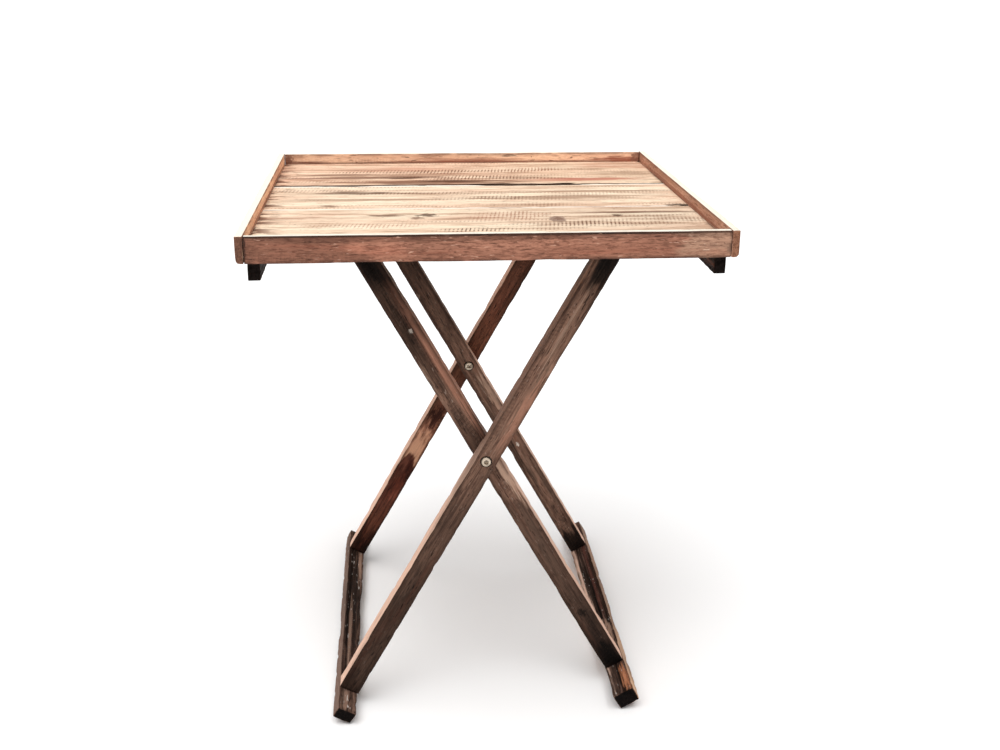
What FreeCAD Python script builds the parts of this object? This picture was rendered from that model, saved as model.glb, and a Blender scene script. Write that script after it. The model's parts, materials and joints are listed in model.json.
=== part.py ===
import FreeCAD, Part
import math
import os

# Folding side table: a shallow plank tray carried by two crossed leg frames.
# Millimetres, +Z up. The origin is on the floor, midway between the feet.
# X runs along the planks, Y runs front (minus) to back (plus).
# The table is drawn open, with the frames crossed and the tray level.

# ---- tray ----
TABLE_HEIGHT = 578.0
TRAY_WIDTH = 500.0
TRAY_DEPTH = 500.0
RIM_HEIGHT = 28.0
RIM_THICKNESS = 8.0
RIM_EASE = 0.8
RIM_JOINT_GAP = 0.6
BOARD_THICKNESS = 15.0
BOARD_WIDTHS = {"board_front": 184.0, "board_middle": 134.0, "board_back": 162.2}
BOARD_GAP = 1.5
BOARD_EASE = 0.7
EDGE_GAP = 0.4
BATTEN_WIDTH = 13.0
BATTEN_DROP = 20.0
BATTEN_LENGTH = 476.0
BATTEN_INSET = 1.5

# ---- crossed frames ----
LEG_ANGLE = 60.75
LEG_WIDTH = 25.0
LEG_THICKNESS = 22.0
LEG_EASE = 1.0
OUTER_FRAME_WIDTH = 372.0
FRAME_GAP = 1.5
OUTER_LEG_BELOW = 329.0
OUTER_BAR = {"width": 24.0, "thickness": 16.0, "length": 450.0}
INNER_BAR = {"width": 27.0, "thickness": 21.0, "length": 438.0}
TOP_BAR = {"width": 18.0, "thickness": 16.0, "housing": 8.0, "below_end_centre": 7.6}

# ---- hinge between the tray and the inner frame ----
HINGE_DEPTH = 14.0
ROD_RADIUS = 4.0
ROD_PLAY = 0.08
ROD_END_SETBACK = 0.3
CAP_RADIUS = 6.5
CAP_THICKNESS = 2.4
CHEEK_THICKNESS = 18.0
CHEEK_GAP = 1.0
CHEEK_FOOT_LENGTH = 44.0
CHEEK_NOSE_RADIUS = 11.0
STOP_WIDTH = 22.0
STOP_DROP = 15.0
STOP_LENGTH = 366.0
STOP_GAP = 0.5

# ---- pivot bolts ----
BOLT_RADIUS = 3.0
BOLT_PLAY = 0.08
HEAD_RADIUS = 5.3
HEAD_HEIGHT = 5.0
SOCKET_ACROSS_FLATS = 5.0
SOCKET_DEPTH = 3.2
COUNTERBORE_RADIUS = 6.6
COUNTERBORE_DEPTH = 3.4
TURNING_GAP = 0.4
WASHER_RADIUS = 6.0
WASHER_THICKNESS = 1.2
SPACER_THICKNESS = 1.1
SPACER_RADIUS = 7.5
NUT_ACROSS_FLATS = 10.0
NUT_HEIGHT = 5.0
BOLT_TAIL = 1.5

# ---- screws and nails ----
SCREW = {"head_radius": 3.6, "shank_radius": 1.8, "cone": 2.4}
FOOT_SCREW_LENGTH = 48.0
BOARD_SCREW_LENGTH = 30.0
BLOCK_SCREW_BITE = 13.5
SCREW_SINK = 0.4
NAIL = {"head_radius": 1.7, "shank_radius": 0.9, "head": 0.8}
NAIL_LENGTH = 30.0

# ---- derived levels ----
HALF_WIDTH = TRAY_WIDTH / 2
HALF_DEPTH = TRAY_DEPTH / 2
TRAY_UNDERSIDE = TABLE_HEIGHT - RIM_HEIGHT
BOARD_TOP = TRAY_UNDERSIDE + BOARD_THICKNESS
TILT = 90.0 - LEG_ANGLE
SIN_ANGLE = math.sin(math.radians(LEG_ANGLE))
COS_ANGLE = math.cos(math.radians(LEG_ANGLE))


def bar_corner_drop(bar):
    """Height from the leg axis down to a tilted foot bar's lowest, eased corner."""
    return (bar["width"] / 2 - LEG_EASE) * COS_ANGLE


PIVOT_HEIGHT = (OUTER_LEG_BELOW + OUTER_BAR["thickness"]) * SIN_ANGLE + bar_corner_drop(OUTER_BAR)
INNER_LEG_BELOW = (PIVOT_HEIGHT - bar_corner_drop(INNER_BAR)) / SIN_ANGLE - INNER_BAR["thickness"]
HINGE_HEIGHT = TRAY_UNDERSIDE - HINGE_DEPTH
LEG_ABOVE = (HINGE_HEIGHT - PIVOT_HEIGHT) / SIN_ANGLE
HINGE_X = -LEG_ABOVE * COS_ANGLE

OUTER_FACE = OUTER_FRAME_WIDTH / 2
OUTER_INSIDE = OUTER_FACE - LEG_THICKNESS
INNER_FACE = OUTER_INSIDE - FRAME_GAP
INNER_INSIDE = INNER_FACE - LEG_THICKNESS

FORWARD = FreeCAD.Vector(0, -1, 0)
BACKWARD = FreeCAD.Vector(0, 1, 0)
UP = FreeCAD.Vector(0, 0, 1)


def block(x0, x1, y0, y1, z0, z1):
    return Part.makeBox(x1 - x0, y1 - y0, z1 - z0, FreeCAD.Vector(x0, y0, z0))


def eased(shape, ease, axis):
    """Chamfer the long edges that run along one axis."""
    edges = []
    for edge in shape.Edges:
        if isinstance(edge.Curve, Part.Line) and abs(edge.tangentAt(edge.FirstParameter).dot(axis)) > 0.999:
            edges.append(edge)
    return shape.makeChamfer(ease, edges)


def across_y(x, z, y0, y1, radius):
    """Round bar or hole along Y between two depths."""
    return Part.makeCylinder(radius, y1 - y0, FreeCAD.Vector(x, y0, z), BACKWARD)


def hexagon(centre, direction, across_flats, height):
    """Hexagonal prism from its base centre along a Y direction."""
    radius = across_flats / math.sqrt(3)
    points = []
    for step in range(7):
        turn = math.radians(60 * step + 30)
        points.append(centre + FreeCAD.Vector(radius * math.cos(turn), 0, radius * math.sin(turn)))
    return Part.Face(Part.makePolygon(points)).extrude(direction * height)


def screw(head_centre, direction, length):
    """Countersunk wood screw, from the head's flat top inwards."""
    head = Part.makeCone(SCREW["head_radius"], SCREW["shank_radius"], SCREW["cone"], head_centre, direction)
    shank_start = head_centre + direction * SCREW["cone"]
    tip = length * 0.16
    straight = length - SCREW["cone"] - tip
    shank = Part.makeCylinder(SCREW["shank_radius"], straight, shank_start, direction)
    point_start = shank_start + direction * straight
    point = Part.makeCone(SCREW["shank_radius"], 0.3, tip, point_start, direction)
    return head.fuse(shank).fuse(point).removeSplitter()


def screw_well(head_centre, direction):
    """Clearance above a sunk screw head, open to the wood's surface."""
    mouth = head_centre - direction * SCREW_SINK
    return Part.makeCylinder(SCREW["head_radius"], SCREW_SINK, mouth, direction)


def nail(head_centre, direction):
    head = Part.makeCylinder(NAIL["head_radius"], NAIL["head"], head_centre, direction)
    shank = Part.makeCylinder(NAIL["shank_radius"], NAIL_LENGTH, head_centre, direction)
    return head.fuse(shank).removeSplitter()


def tilted(shape, side):
    """Lean an upright frame piece about the pivot; side -1 leans its top left, +1 right."""
    placed = shape.copy()
    placed.rotate(FreeCAD.Vector(0, 0, 0), BACKWARD, side * TILT)
    placed.translate(FreeCAD.Vector(0, 0, PIVOT_HEIGHT))
    return placed


def upright_leg(below, y0, y1):
    """Leg on the Z axis with the pivot at zero, square foot end and rounded top end."""
    half = LEG_WIDTH / 2
    shaft = eased(block(-half, half, y0, y1, -below, LEG_ABOVE), LEG_EASE, UP)
    head = across_y(0, LEG_ABOVE, y0, y1, half)
    rounded = head.cut(block(-half, half, y0, y1, LEG_ABOVE - 2 * half, LEG_ABOVE))
    rim_edges = [edge for edge in rounded.Edges if isinstance(edge.Curve, Part.Circle)]
    rounded = rounded.makeChamfer(LEG_EASE, rim_edges)
    return shaft.fuse(rounded).removeSplitter()


def foot_bar(bar, below):
    """Foot bar across the square ends of an upright frame's legs."""
    half = bar["width"] / 2
    reach = bar["length"] / 2
    shape = block(-half, half, -reach, reach, -below - bar["thickness"], -below)
    return eased(shape, LEG_EASE, BACKWARD)


nodes = {}


# ---- tray planks and rim ----
def make_rim():
    z0 = TRAY_UNDERSIDE
    z1 = TABLE_HEIGHT
    inner_x = HALF_WIDTH - RIM_THICKNESS
    inner_y = HALF_DEPTH - RIM_THICKNESS
    sides = {
        "rim_left": (-HALF_WIDTH, -inner_x),
        "rim_right": (inner_x, HALF_WIDTH),
    }
    for name, (x0, x1) in sides.items():
        nodes[name] = eased(block(x0, x1, -HALF_DEPTH, HALF_DEPTH, z0, z1), RIM_EASE, BACKWARD)
    ends = {
        "rim_front": (-HALF_DEPTH, -inner_y),
        "rim_back": (inner_y, HALF_DEPTH),
    }
    reach = inner_x - RIM_JOINT_GAP
    for name, (y0, y1) in ends.items():
        shape = block(-reach, reach, y0, y1, z0, z1)
        nodes[name] = eased(shape, RIM_EASE, FreeCAD.Vector(1, 0, 0))


def make_boards():
    reach = HALF_WIDTH - RIM_THICKNESS - EDGE_GAP
    y = -HALF_DEPTH + RIM_THICKNESS + EDGE_GAP
    for name, width in BOARD_WIDTHS.items():
        shape = block(-reach, reach, y, y + width, TRAY_UNDERSIDE, BOARD_TOP)
        nodes[name] = eased(shape, BOARD_EASE, FreeCAD.Vector(1, 0, 0))
        y += width + BOARD_GAP


def board_middles():
    """Y of each plank's centre line, front to back."""
    y = -HALF_DEPTH + RIM_THICKNESS + EDGE_GAP
    middles = []
    for width in BOARD_WIDTHS.values():
        middles.append(y + width / 2)
        y += width + BOARD_GAP
    return middles


def make_battens():
    outside = HALF_WIDTH - RIM_THICKNESS - BATTEN_INSET
    reach = BATTEN_LENGTH / 2
    z0 = TRAY_UNDERSIDE - BATTEN_DROP
    spans = {
        "batten_left": (-outside, -outside + BATTEN_WIDTH),
        "batten_right": (outside - BATTEN_WIDTH, outside),
    }
    for name, (x0, x1) in spans.items():
        nodes[name] = eased(block(x0, x1, -reach, reach, z0, TRAY_UNDERSIDE), LEG_EASE, BACKWARD)


# ---- hinge cheeks, rod and stop ----
def make_cheek(y0, y1):
    """Block under the planks with a rounded nose around the rod."""
    foot = block(HINGE_X - CHEEK_FOOT_LENGTH / 2, HINGE_X + CHEEK_FOOT_LENGTH / 2, y0, y1,
                 TRAY_UNDERSIDE - HINGE_DEPTH / 2, TRAY_UNDERSIDE)
    neck = block(HINGE_X - CHEEK_NOSE_RADIUS, HINGE_X + CHEEK_NOSE_RADIUS, y0, y1,
                 HINGE_HEIGHT, TRAY_UNDERSIDE)
    nose = across_y(HINGE_X, HINGE_HEIGHT, y0, y1, CHEEK_NOSE_RADIUS)
    hole = across_y(HINGE_X, HINGE_HEIGHT, y0 - 1, y1 + 1, ROD_RADIUS + ROD_PLAY)
    return foot.fuse(neck).fuse(nose).removeSplitter().cut(hole)


def make_hinge():
    outside = INNER_INSIDE - CHEEK_GAP
    nodes["hinge_cheek_front"] = make_cheek(-outside, -outside + CHEEK_THICKNESS)
    nodes["hinge_cheek_back"] = make_cheek(outside - CHEEK_THICKNESS, outside)
    rod_end = INNER_FACE + ROD_END_SETBACK
    nodes["hinge_rod"] = across_y(HINGE_X, HINGE_HEIGHT, -rod_end, rod_end, ROD_RADIUS)
    caps = []
    for side in (-1, 1):
        start = FreeCAD.Vector(HINGE_X, side * rod_end, HINGE_HEIGHT)
        outward = BACKWARD * side
        disc = Part.makeCylinder(CAP_RADIUS, CAP_THICKNESS, start, outward)
        rim = [edge for edge in disc.Edges if isinstance(edge.Curve, Part.Circle)
               and abs(edge.Curve.Center.y) > rod_end + CAP_THICKNESS / 2]
        caps.append(disc.makeFillet(CAP_THICKNESS * 0.6, rim))
    nodes["hinge_rod_caps"] = Part.Compound(caps)


def make_stop():
    x0 = -HINGE_X + LEG_WIDTH / 2 + STOP_GAP
    reach = STOP_LENGTH / 2
    shape = block(x0, x0 + STOP_WIDTH, -reach, reach, TRAY_UNDERSIDE - STOP_DROP, TRAY_UNDERSIDE)
    nodes["stop_cleat"] = eased(shape, LEG_EASE, BACKWARD)


# ---- crossed frames ----
def make_inner_frame():
    spans = {"inner_leg_front": (-INNER_FACE, -INNER_INSIDE), "inner_leg_back": (INNER_INSIDE, INNER_FACE)}
    for name, (y0, y1) in spans.items():
        leg = upright_leg(INNER_LEG_BELOW, y0, y1)
        leg = leg.cut(across_y(0, 0, y0 - 1, y1 + 1, BOLT_RADIUS + BOLT_PLAY))
        leg = leg.cut(across_y(0, LEG_ABOVE, y0 - 1, y1 + 1, ROD_RADIUS + ROD_PLAY))
        if y0 > 0:
            leg = leg.cut(across_y(0, 0, y0 - 1, y0 + COUNTERBORE_DEPTH, COUNTERBORE_RADIUS))
        nodes[name] = leg
    nodes["inner_foot_bar"] = foot_bar(INNER_BAR, INNER_LEG_BELOW)


def make_outer_frame():
    reach = OUTER_INSIDE + TOP_BAR["housing"]
    half = TOP_BAR["width"] / 2
    top_centre = LEG_ABOVE - TOP_BAR["below_end_centre"]
    top = block(-half, half, -reach, reach,
                top_centre - TOP_BAR["thickness"] / 2, top_centre + TOP_BAR["thickness"] / 2)
    spans = {"outer_leg_front": (-OUTER_FACE, -OUTER_INSIDE), "outer_leg_back": (OUTER_INSIDE, OUTER_FACE)}
    for name, (y0, y1) in spans.items():
        leg = upright_leg(OUTER_LEG_BELOW, y0, y1)
        leg = leg.cut(across_y(0, 0, y0 - 1, y1 + 1, BOLT_RADIUS))
        if y0 < 0:
            leg = leg.cut(across_y(0, 0, y0 - 1, y0 + COUNTERBORE_DEPTH, COUNTERBORE_RADIUS))
        nodes[name] = leg.cut(top)
    nodes["outer_foot_bar"] = foot_bar(OUTER_BAR, OUTER_LEG_BELOW)
    nodes["outer_top_bar"] = top


def foot_screws(bar, below, depths):
    """Screws up through a foot bar into the legs' end grain, upright frame."""
    solids = []
    wells = []
    for y in depths:
        head = FreeCAD.Vector(0, y, -below - bar["thickness"] + SCREW_SINK)
        solids.append(screw(head, UP, FOOT_SCREW_LENGTH))
        wells.append(screw_well(head, UP))
    return solids, wells


def cut_all(names, tools):
    for name in names:
        shape = nodes[name]
        for tool in tools:
            if shape.BoundBox.intersect(tool.BoundBox):
                shape = shape.cut(tool)
        nodes[name] = shape


def finish_frames():
    middle = {
        "inner": (INNER_INSIDE + INNER_FACE) / 2,
        "outer": (OUTER_INSIDE + OUTER_FACE) / 2,
    }
    sets = {
        "inner": (INNER_BAR, INNER_LEG_BELOW, -1),
        "outer": (OUTER_BAR, OUTER_LEG_BELOW, 1),
    }
    for frame, (bar, below, side) in sets.items():
        solids, wells = foot_screws(bar, below, (-middle[frame], middle[frame]))
        pieces = [frame + "_leg_front", frame + "_leg_back", frame + "_foot_bar"]
        cut_all(pieces, solids + wells)
        if frame == "outer":
            pieces.append("outer_top_bar")
        for name in pieces:
            nodes[name] = tilted(nodes[name], side)
        nodes[frame + "_foot_screws"] = Part.Compound([tilted(solid, side) for solid in solids])


# ---- pivot bolts: both heads face the front, both turn with the outer frame ----
def pivot_bolt(head_seat_y, tail_y):
    seat = FreeCAD.Vector(0, head_seat_y, PIVOT_HEIGHT)
    head = Part.makeCylinder(HEAD_RADIUS, HEAD_HEIGHT, seat, FORWARD)
    rim = [edge for edge in head.Edges if isinstance(edge.Curve, Part.Circle)
           and edge.Curve.Center.y < head_seat_y - HEAD_HEIGHT / 2]
    head = head.makeFillet(0.9, rim)
    socket_top = seat + FORWARD * (HEAD_HEIGHT - SOCKET_DEPTH)
    head = head.cut(hexagon(socket_top, FORWARD, SOCKET_ACROSS_FLATS, SOCKET_DEPTH + 1))
    shank = across_y(0, PIVOT_HEIGHT, head_seat_y, tail_y, BOLT_RADIUS)
    return head.fuse(shank).removeSplitter()


def flat_ring(y0, y1, radius):
    ring = across_y(0, PIVOT_HEIGHT, y0, y1, radius)
    return ring.cut(across_y(0, PIVOT_HEIGHT, y0 - 1, y1 + 1, BOLT_RADIUS))


def nut(y0):
    body = hexagon(FreeCAD.Vector(0, y0, PIVOT_HEIGHT), BACKWARD, NUT_ACROSS_FLATS, NUT_HEIGHT)
    corners = Part.makeCone(NUT_ACROSS_FLATS * 0.48, NUT_ACROSS_FLATS * 0.48 + NUT_HEIGHT * 1.8,
                            NUT_HEIGHT * 1.04, FreeCAD.Vector(0, y0 - 0.1, PIVOT_HEIGHT), BACKWARD)
    back = Part.makeCone(NUT_ACROSS_FLATS * 0.48, NUT_ACROSS_FLATS * 0.48 + NUT_HEIGHT * 1.8,
                         NUT_HEIGHT * 1.04, FreeCAD.Vector(0, y0 + NUT_HEIGHT + 0.1, PIVOT_HEIGHT), FORWARD)
    body = body.common(corners).common(back)
    return body.cut(across_y(0, PIVOT_HEIGHT, y0 - 1, y0 + NUT_HEIGHT + 1, BOLT_RADIUS))


def make_pivots():
    front_seat = -OUTER_FACE + COUNTERBORE_DEPTH
    front_washer = -INNER_INSIDE + TURNING_GAP
    front_nut = front_washer + WASHER_THICKNESS
    nodes["pivot_bolt_front"] = pivot_bolt(front_seat, front_nut + NUT_HEIGHT + BOLT_TAIL)
    back_seat = INNER_INSIDE + COUNTERBORE_DEPTH - TURNING_GAP
    back_nut = OUTER_FACE + WASHER_THICKNESS
    nodes["pivot_bolt_back"] = pivot_bolt(back_seat, back_nut + NUT_HEIGHT + BOLT_TAIL)
    nodes["pivot_nuts"] = Part.Compound([nut(front_nut), nut(back_nut)])
    nodes["pivot_washers"] = Part.Compound([
        flat_ring(front_washer, front_nut, WASHER_RADIUS),
        flat_ring(OUTER_FACE, back_nut, WASHER_RADIUS),
    ])
    nodes["pivot_spacers"] = Part.Compound([
        flat_ring(-OUTER_INSIDE, -OUTER_INSIDE + SPACER_THICKNESS, SPACER_RADIUS),
        flat_ring(OUTER_INSIDE - SPACER_THICKNESS, OUTER_INSIDE, SPACER_RADIUS),
    ])


# ---- fixings of the tray ----
def make_board_screws():
    """Screws up through the battens into every plank, two per plank end."""
    x = HALF_WIDTH - RIM_THICKNESS - BATTEN_INSET - BATTEN_WIDTH / 2
    z = TRAY_UNDERSIDE - BATTEN_DROP + SCREW_SINK
    solids = []
    wells = []
    for side in (-1, 1):
        for middle, width in zip(board_middles(), BOARD_WIDTHS.values()):
            for offset in (-width * 0.3, width * 0.3):
                head = FreeCAD.Vector(side * x, middle + offset, z)
                solids.append(screw(head, UP, BOARD_SCREW_LENGTH))
                wells.append(screw_well(head, UP))
    nodes["board_screws"] = Part.Compound(solids)
    cut_all(list(BOARD_WIDTHS) + ["batten_left", "batten_right"], solids + wells)


def make_block_screws():
    """Screws that hold the hinge cheeks and the stop cleat under the planks."""
    solids = []
    wells = []
    cheek_y = INNER_INSIDE - CHEEK_GAP - CHEEK_THICKNESS / 2
    for y in (-cheek_y, cheek_y):
        for step in (-1, 1):
            x = HINGE_X + step * (CHEEK_NOSE_RADIUS + CHEEK_FOOT_LENGTH / 2) / 2
            head = FreeCAD.Vector(x, y, TRAY_UNDERSIDE - HINGE_DEPTH / 2 + SCREW_SINK)
            solids.append(screw(head, UP, BLOCK_SCREW_BITE + HINGE_DEPTH / 2 - SCREW_SINK))
            wells.append(screw_well(head, UP))
    stop_x = -HINGE_X + LEG_WIDTH / 2 + STOP_GAP + STOP_WIDTH / 2
    for middle in board_middles():
        y = max(-STOP_LENGTH / 2 + 20, min(STOP_LENGTH / 2 - 20, middle))
        head = FreeCAD.Vector(stop_x, y, TRAY_UNDERSIDE - STOP_DROP + SCREW_SINK)
        solids.append(screw(head, UP, BLOCK_SCREW_BITE + STOP_DROP - SCREW_SINK))
        wells.append(screw_well(head, UP))
    nodes["block_screws"] = Part.Compound(solids)
    targets = list(BOARD_WIDTHS) + ["hinge_cheek_front", "hinge_cheek_back", "stop_cleat"]
    cut_all(targets, solids + wells)


def make_rim_nails():
    """Nails through the side rails into the rail ends and the plank ends."""
    solids = []
    rail_y = HALF_DEPTH - RIM_THICKNESS / 2
    corner_levels = (TRAY_UNDERSIDE + RIM_HEIGHT * 0.25, TRAY_UNDERSIDE + RIM_HEIGHT * 0.75)
    board_level = TRAY_UNDERSIDE + BOARD_THICKNESS / 2
    for side in (-1, 1):
        inward = FreeCAD.Vector(-side, 0, 0)
        for y in (-rail_y, rail_y):
            for z in corner_levels:
                solids.append(nail(FreeCAD.Vector(side * HALF_WIDTH, y, z), inward))
        for middle in board_middles():
            solids.append(nail(FreeCAD.Vector(side * HALF_WIDTH, middle, board_level), inward))
    nodes["rim_nails"] = Part.Compound(solids)
    rails = ["rim_left", "rim_right", "rim_front", "rim_back"]
    cut_all(rails + list(BOARD_WIDTHS), solids)


make_rim()
make_boards()
make_battens()
make_hinge()
make_stop()
make_inner_frame()
make_outer_frame()
finish_frames()
make_pivots()
make_board_screws()
make_block_screws()
make_rim_nails()

os.makedirs("parts", exist_ok=True)
for name, shape in nodes.items():
    shape.exportStep("parts/" + name + ".step")
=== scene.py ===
import json
import math

import bmesh
import bpy
from mathutils import Matrix, Vector, noise


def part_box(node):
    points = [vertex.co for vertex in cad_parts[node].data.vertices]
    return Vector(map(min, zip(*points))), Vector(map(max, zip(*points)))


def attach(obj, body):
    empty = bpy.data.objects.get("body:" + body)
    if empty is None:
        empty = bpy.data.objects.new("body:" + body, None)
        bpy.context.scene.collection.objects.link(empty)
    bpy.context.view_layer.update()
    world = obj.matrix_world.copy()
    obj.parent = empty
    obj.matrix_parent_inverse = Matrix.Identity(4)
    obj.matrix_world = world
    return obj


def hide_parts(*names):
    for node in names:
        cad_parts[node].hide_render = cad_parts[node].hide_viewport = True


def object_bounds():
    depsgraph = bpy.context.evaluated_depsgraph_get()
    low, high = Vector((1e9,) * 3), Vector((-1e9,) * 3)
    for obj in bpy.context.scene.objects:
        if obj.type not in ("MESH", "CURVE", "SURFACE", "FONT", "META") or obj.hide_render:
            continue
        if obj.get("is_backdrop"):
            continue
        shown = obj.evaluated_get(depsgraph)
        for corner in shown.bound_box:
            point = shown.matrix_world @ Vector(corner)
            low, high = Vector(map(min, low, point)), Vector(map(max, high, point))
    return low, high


# Folding side table: plank tray on two crossed leg frames, weathered sawn wood.
# Metres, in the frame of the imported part. Every timber is built in its own frame:
# X along the grain, Y and Z across it, and then placed.

# ---- photographer's view, solved from the photo's tray, leg and foot bar edges ----
CAMERA_PLACE = Vector((-0.09025, -1.42342, 0.84457))
CAMERA_AZIMUTH = math.radians(4.8495)
CAMERA_DROP = math.radians(19.3778)
CAMERA_ROLL = math.radians(0.3656)
CAMERA_LENS = 43.95
CAMERA_SENSOR = 36.0
CAMERA_RANGE = 100.0

# ---- studio ----
FLOOR_HALF_SIZE = 60.0
FLOOR_TONE = (0.93, 0.93, 0.93)
FLOOR_ROUGHNESS = 0.9
SURROUND_TONE = (1.0, 1.0, 1.0, 1.0)
SURROUND_STRENGTH = 0.42
SUNS = {
    "overhead": {"strength": 3.1, "spread": 70, "direction": (0.15, 0.25, -1.0)},
    "front_fill": {"strength": 0.3, "spread": 90, "direction": (0.1, 1.0, -0.35)},
}

# ---- timber mesh ----
STATION_STEP = 0.004
SECTION_STEP = 0.0035
CORNER_STEPS = 3
END_EDGE = 0.003
END_ROUNDING_SHARE = 0.3
CAP_SCALES = (0.8, 0.55, 0.3)
CAP_ROUGHNESS = 0.0003
CAP_WAVES = 700
TOP_STEPS = 14
TOP_LAST_TURN = 88.5  # degrees; at 90 the last row would have no width
EDGE_FADE = 0.0012
SHARP_ANGLE = math.radians(48)
HOLE_SIDES = 48
HOLE_OVERSHOOT = 0.001

# ---- wear noise: waves per metre along the grain and across it ----
BROAD_WAVES = (14, 50)
FINE_WAVES = (110, 380)
# Two kinds of chips along the corners, each where its noise is above a level.
CHIPS = (
    {"waves": 14, "corner_shift": 7.3, "seed_shift": 0.0, "above": 0.15, "share": 1.0},
    {"waves": 75, "corner_shift": 5.1, "seed_shift": 3.7, "above": 0.1, "share": 0.6},
)
HOLLOW_LEAST = 0.6
HOLLOW_ROUGHNESS = 0.8

# ---- how worn each kind of timber is: corner radius, depths below the sawn size, reach from a corner ----
PLANK_WEAR = {"radius": 0.0009, "face": 0.0003, "fine": 0.00015, "chip": 0.0016, "reach": 0.003}
RAIL_WEAR = {"radius": 0.0007, "face": 0.00025, "fine": 0.0001, "chip": 0.001, "reach": 0.002}
BATTEN_WEAR = {"radius": 0.0012, "face": 0.0003, "fine": 0.0002, "chip": 0.0015, "reach": 0.003}
LEG_WEAR = {"radius": 0.0016, "face": 0.0004, "fine": 0.0003, "chip": 0.0028, "reach": 0.004}
FOOT_WEAR = {"radius": 0.0018, "face": 0.0006, "fine": 0.0005, "chip": 0.0045, "reach": 0.005}

# ---- holes: the bolts' and the rod's are the CAD source's, the nail hole is seen in the photo ----
COUNTERBORE_RADIUS = 0.0066
COUNTERBORE_DEPTH = 0.0034
COUNTERBORED_LEGS = ("outer_leg_front", "inner_leg_back")
BOLT_HOLE_RADIUS = 0.00308
ROD_HOLE_RADIUS = 0.00408
NAIL_HOLE = {"leg": "inner_leg_back", "below_pivot": 0.121, "radius": 0.0013, "depth": 0.004}
BACKWARD = Vector((0, 1, 0))

# ---- materials ----
SHADE_GAIN = 1.6
SHADE_WANDER = 0.035
WOOD_SHIFT = (0.371, 0.193, 0.737)
METAL_SHIFT = (0.31, 0.17, 0.53)
WORN_ROUGHNESS = 0.88
METAL_BUMP = 0.00006
METALNESS = 0.85
METAL_GLOSS = 0.5
PIT_TONE = (0.1, 0.075, 0.055)
# How often a mark's border wanders, over its half length and half width.
FEATHER_ALONG = 1.3
FEATHER_ACROSS = 2.2
# The part of a face's normal along an axis at which a mask for that side starts, and at which it is full.
HALF_TURNED = (0.2, 0.6)
MOSTLY_TURNED = (0.35, 0.7)
FULLY_TURNED = (0.75, 0.95)
# The Mix node's sockets for colours.
MIX_AMOUNT = 0
MIX_FIRST = 6
MIX_SECOND = 7
MIX_RESULT = 2

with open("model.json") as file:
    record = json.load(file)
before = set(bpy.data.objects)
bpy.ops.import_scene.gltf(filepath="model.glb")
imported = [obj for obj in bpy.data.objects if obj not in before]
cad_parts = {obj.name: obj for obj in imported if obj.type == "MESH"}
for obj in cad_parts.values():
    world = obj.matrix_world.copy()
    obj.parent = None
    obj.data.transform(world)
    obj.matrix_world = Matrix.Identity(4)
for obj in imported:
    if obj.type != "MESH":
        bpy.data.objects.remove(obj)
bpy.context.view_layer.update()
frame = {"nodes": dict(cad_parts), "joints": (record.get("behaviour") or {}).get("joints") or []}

joints = {joint["name"]: joint for joint in frame["joints"]}
pivot = Vector(joints["legs_fold"]["pos_m"])
hinge = Vector(joints["stand_swing"]["pos_m"])
TILT = math.atan2(pivot.x - hinge.x, hinge.z - pivot.z)
LEAN = {"inner_frame": -1, "outer_frame": 1}  # the side of X to which each frame's top leans


# ---- timber builder ----
def outline(half_y, half_z, radius):
    """Points round a rounded rectangle: place, outward direction, distance to the corner, corner number."""
    corners = [(1, -1), (1, 1), (-1, 1), (-1, -1)]
    inner = [Vector((y * (half_y - radius), z * (half_z - radius))) for y, z in corners]
    points = []
    for index, centre in enumerate(inner):
        for step in range(CORNER_STEPS + 1):
            turn = math.radians(90 * (index - 1 + step / CORNER_STEPS))
            out = Vector((math.cos(turn), math.sin(turn)))
            points.append((centre + out * radius, out, 0.0, index))
        start = centre + out * radius
        end = inner[(index + 1) % 4] + out * radius
        length = (end - start).length
        count = max(1, round(length / SECTION_STEP))
        for step in range(1, count):
            share = step / count
            nearest = index if share < 0.5 else (index + 1) % 4
            points.append((start.lerp(end, share), out, min(share, 1 - share) * length, nearest))
    return points


def worn_depth(x, point, gap, corner, wear, seed, hollows):
    """How far a point of the surface sits below the sawn size."""
    along, across = BROAD_WAVES
    broad = 0.5 + 0.5 * noise.noise(Vector((x * along, point.x * across + seed, point.y * across)))
    along, across = FINE_WAVES
    fine = 0.5 + 0.5 * noise.noise(Vector((x * along, point.x * across, point.y * across + seed)))
    chips = 0.0
    for kind in CHIPS:
        spot = Vector((x * kind["waves"], corner * kind["corner_shift"], seed + kind["seed_shift"]))
        chips += kind["share"] * max(0.0, noise.noise(spot) - kind["above"])
    near_edge = math.exp(-(gap / wear["reach"]) ** 2)
    depth = wear["face"] * broad + wear["fine"] * fine
    depth += wear["chip"] * chips * near_edge
    for hollow in hollows:
        if hollow["corner"] == corner:
            off = (x - hollow["at"]) / hollow["half_length"]
            uneven = HOLLOW_LEAST + HOLLOW_ROUGHNESS * fine
            depth += hollow["depth"] * math.exp(-off ** 4) * near_edge * uneven
    return depth


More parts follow.
